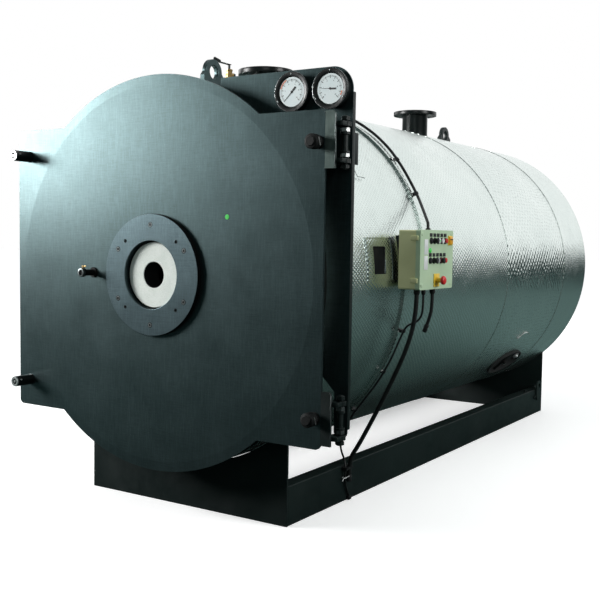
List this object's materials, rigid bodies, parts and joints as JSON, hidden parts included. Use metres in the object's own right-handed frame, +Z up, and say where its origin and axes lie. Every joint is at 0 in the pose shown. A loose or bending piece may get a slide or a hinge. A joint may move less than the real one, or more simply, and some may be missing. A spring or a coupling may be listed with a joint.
{
  "type": "industrial fire-tube boiler",
  "caption": "Horizontal fire-tube boiler on saddles and rails, with a hinged front door, burner ring, top nozzles, gauge panel and side control box.",
  "frame": {"origin": "on the ground under the drum's axis, in the middle of the front saddle plate's thickness", "axes": "+Z up, +Y along the drum towards the flue outlet, +X towards the door's hinges and the control box"},
  "size_m": [1.928, 3.934, 2.1214],
  "materials": {
    "door_paint": "slate grey-green powder coat, fine satin texture",
    "base_paint": "near-black green paint, satin, dusty",
    "cladding": "stucco-embossed sheet, semi-bright",
    "nozzle_paint": "gloss black paint",
    "drum_steel": "mill-scaled steel plate, dull",
    "refractory": "cast refractory cement, rough",
    "closer_black": "black enamel, satin",
    "zinc": "bright zinc plating",
    "brass": "machined, slightly dulled",
    "box_plastic": "light grey moulded enclosure",
    "button_black": "moulded push buttons",
    "gauge_case": "black case with a bright bezel and a white dial",
    "estop": "red mushroom on a yellow plate",
    "cable": "black sheath",
    "clip_black": "black nylon glands, clips and connector"
  },
  "bodies": {
    "boiler": {"front_saddle": "base_paint", "rear_saddle": "base_paint", "left_rail": "base_paint", "right_rail": "base_paint", "transport_lug": "base_paint", "boiler_drum": "drum_steel", "furnace_tube": "drum_steel", "front_tube_plate": "drum_steel", "panel_ring": "base_paint", "rear_cover": "cladding", "flue_outlet": "base_paint", "front_nozzle": "nozzle_paint", "rear_nozzle": "nozzle_paint", "vent_valve": "brass", "gauge_panel": "door_paint", "left_gauge": "gauge_case", "right_gauge": "gauge_case", "clamp_brackets": "base_paint", "upper_hinge_bracket": "base_paint", "lower_hinge_bracket": "base_paint", "control_box": "box_plastic", "control_box_lid": "box_plastic", "control_box_brackets": "base_paint", "push_buttons": "button_black", "emergency_stop": "estop", "front_lifting_lug": "door_paint", "rear_lifting_lug": "door_paint", "hand_hole": "base_paint", "cable_glands": "clip_black", "cable_clips": "clip_black", "burner_connector": "clip_black", "upper_cable": "cable", "sensor_cable": "cable", "conduit": "cable", "burner_lead": "cable", "front_cladding": "cladding", "second_cladding": "cladding", "third_cladding": "cladding", "rear_cladding": "cladding"},
    "door": {"door_plate": "door_paint", "door_insulation": "refractory", "burner_block": "refractory", "burner_flange": "door_paint", "door_closers": "closer_black", "sight_port": "zinc", "upper_hinge_leaf": "door_paint", "lower_hinge_leaf": "door_paint"}
  },
  "joints": [
    {"name": "door_hinge", "type": "hinge", "parent": "boiler", "child": "door", "pos_m": [0.937, -0.159, 1.1], "axis": [0, 0, 1], "range_deg": [0, 110]}
  ]
}
